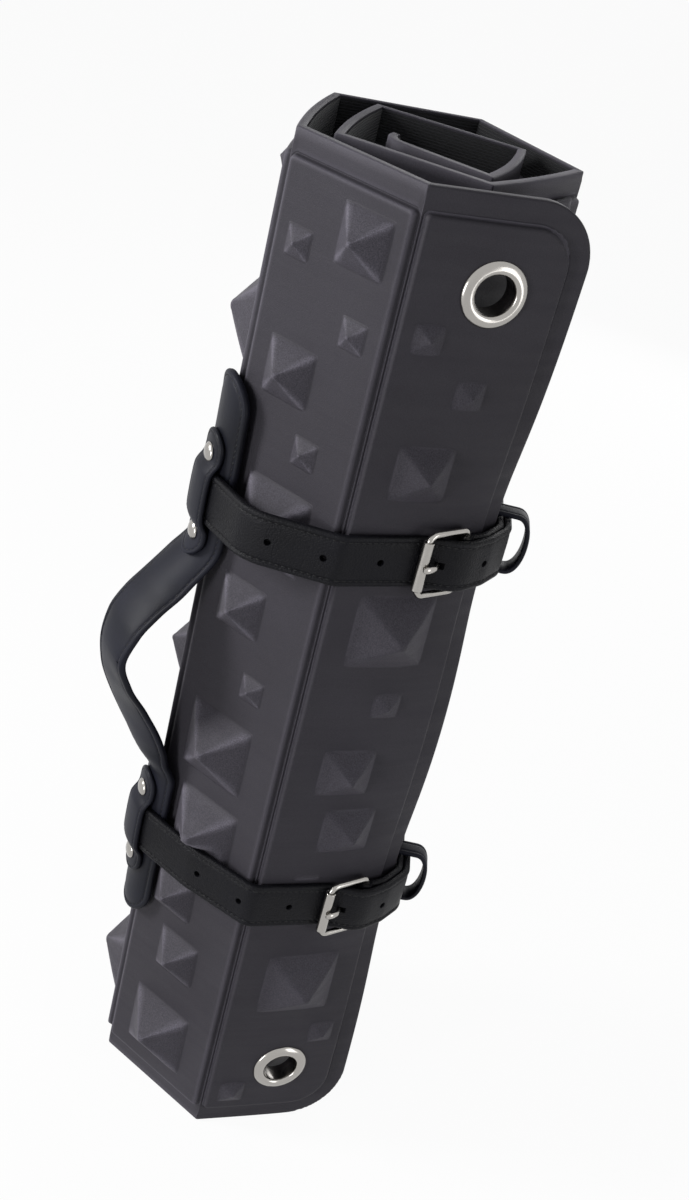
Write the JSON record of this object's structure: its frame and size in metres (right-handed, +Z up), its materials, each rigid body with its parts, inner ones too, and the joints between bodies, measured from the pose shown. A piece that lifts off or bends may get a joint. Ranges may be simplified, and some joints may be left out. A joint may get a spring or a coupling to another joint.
{
  "type": "rolled exercise mat in a leather carrier",
  "caption": "Thick studded foam mat of hinged panels, rolled into a column and held by two buckled leather straps joined by a raised leather carrying handle.",
  "frame": {"origin": "centre of the footprint at the bottom of the roll", "axes": "+Z up along the rolled column; -Y is the broad front panel between the handle fold and the free panel, which shows its eyelets towards +X"},
  "size_m": [0.1799, 0.2008, 0.61],
  "materials": {
    "foam": "fine gritty matte, moulded closed-cell foam",
    "lining": "fine ribbed cloth",
    "leather": "satin pebble grain, stitched near the edges",
    "nickel": "bright polished nickel plate"
  },
  "bodies": {
    "roll": {"foam_panel_01": "foam", "foam_panel_02": "foam", "foam_panel_03": "foam", "foam_panel_04": "foam", "foam_panel_05": "foam", "foam_panel_06": "foam", "foam_panel_07": "foam", "foam_panel_08": "foam", "foam_panel_09": "foam", "foam_panel_10": "foam", "foam_panel_11": "foam", "lining_cloth": "lining", "lower_eyelet_ring": "nickel", "lower_eyelet_washer": "nickel", "upper_eyelet_ring": "nickel", "upper_eyelet_washer": "nickel", "handle_upper_end": "leather", "handle_lower_end": "leather", "lower_strap": "leather", "lower_handle_strip": "leather", "lower_rivets": "nickel", "upper_strap": "leather", "upper_handle_strip": "leather", "upper_rivets": "nickel"},
    "handle": {"handle_bow": "leather"},
    "upper_buckle": {"upper_buckle_frame": "nickel"},
    "upper_roller": {"upper_buckle_roller": "nickel"},
    "upper_prong": {"upper_buckle_prong": "nickel"},
    "upper_keeper": {"upper_keeper": "leather"},
    "lower_buckle": {"lower_buckle_frame": "nickel"},
    "lower_roller": {"lower_buckle_roller": "nickel"},
    "lower_prong": {"lower_buckle_prong": "nickel"},
    "lower_keeper": {"lower_keeper": "leather"}
  },
  "joints": [
    {"name": "handle_flex", "type": "hinge", "parent": "roll", "child": "handle", "pos_m": [-0.0463, -0.06049, 0.3], "axis": [0, 0, 1], "range_deg": [-12, 12]},
    {"name": "upper_buckle_hinge", "type": "hinge", "parent": "roll", "child": "upper_buckle", "pos_m": [0.07921, 0.00487, 0.41643], "axis": [0, 0, 1], "range_deg": [0, 3]},
    {"name": "upper_prong_hinge", "type": "hinge", "parent": "upper_buckle", "child": "upper_prong", "pos_m": [0.07921, 0.00487, 0.41643], "axis": [0, 0, 1], "range_deg": [0, 3]},
    {"name": "upper_roller_spin", "type": "hinge", "parent": "upper_buckle", "child": "upper_roller", "pos_m": [0.07306, -0.01936, 0.41643], "axis": [0, 0, 1], "continuous": true},
    {"name": "upper_keeper_slide", "type": "slide", "parent": "roll", "child": "upper_keeper", "axis": [-0.5877, 0.8091, 0], "range_m": [-0.001, 0.006]},
    {"name": "lower_buckle_hinge", "type": "hinge", "parent": "roll", "child": "lower_buckle", "pos_m": [0.07985, 0.00424, 0.18183], "axis": [0, 0, 1], "range_deg": [0, 3]},
    {"name": "lower_prong_hinge", "type": "hinge", "parent": "lower_buckle", "child": "lower_prong", "pos_m": [0.07985, 0.00424, 0.18183], "axis": [0, 0, 1], "range_deg": [0, 3]},
    {"name": "lower_roller_spin", "type": "hinge", "parent": "lower_buckle", "child": "lower_roller", "pos_m": [0.07314, -0.01984, 0.18183], "axis": [0, 0, 1], "continuous": true},
    {"name": "lower_keeper_slide", "type": "slide", "parent": "roll", "child": "lower_keeper", "axis": [-0.6077, 0.7942, 0], "range_m": [-0.001, 0.006]}
  ]
}
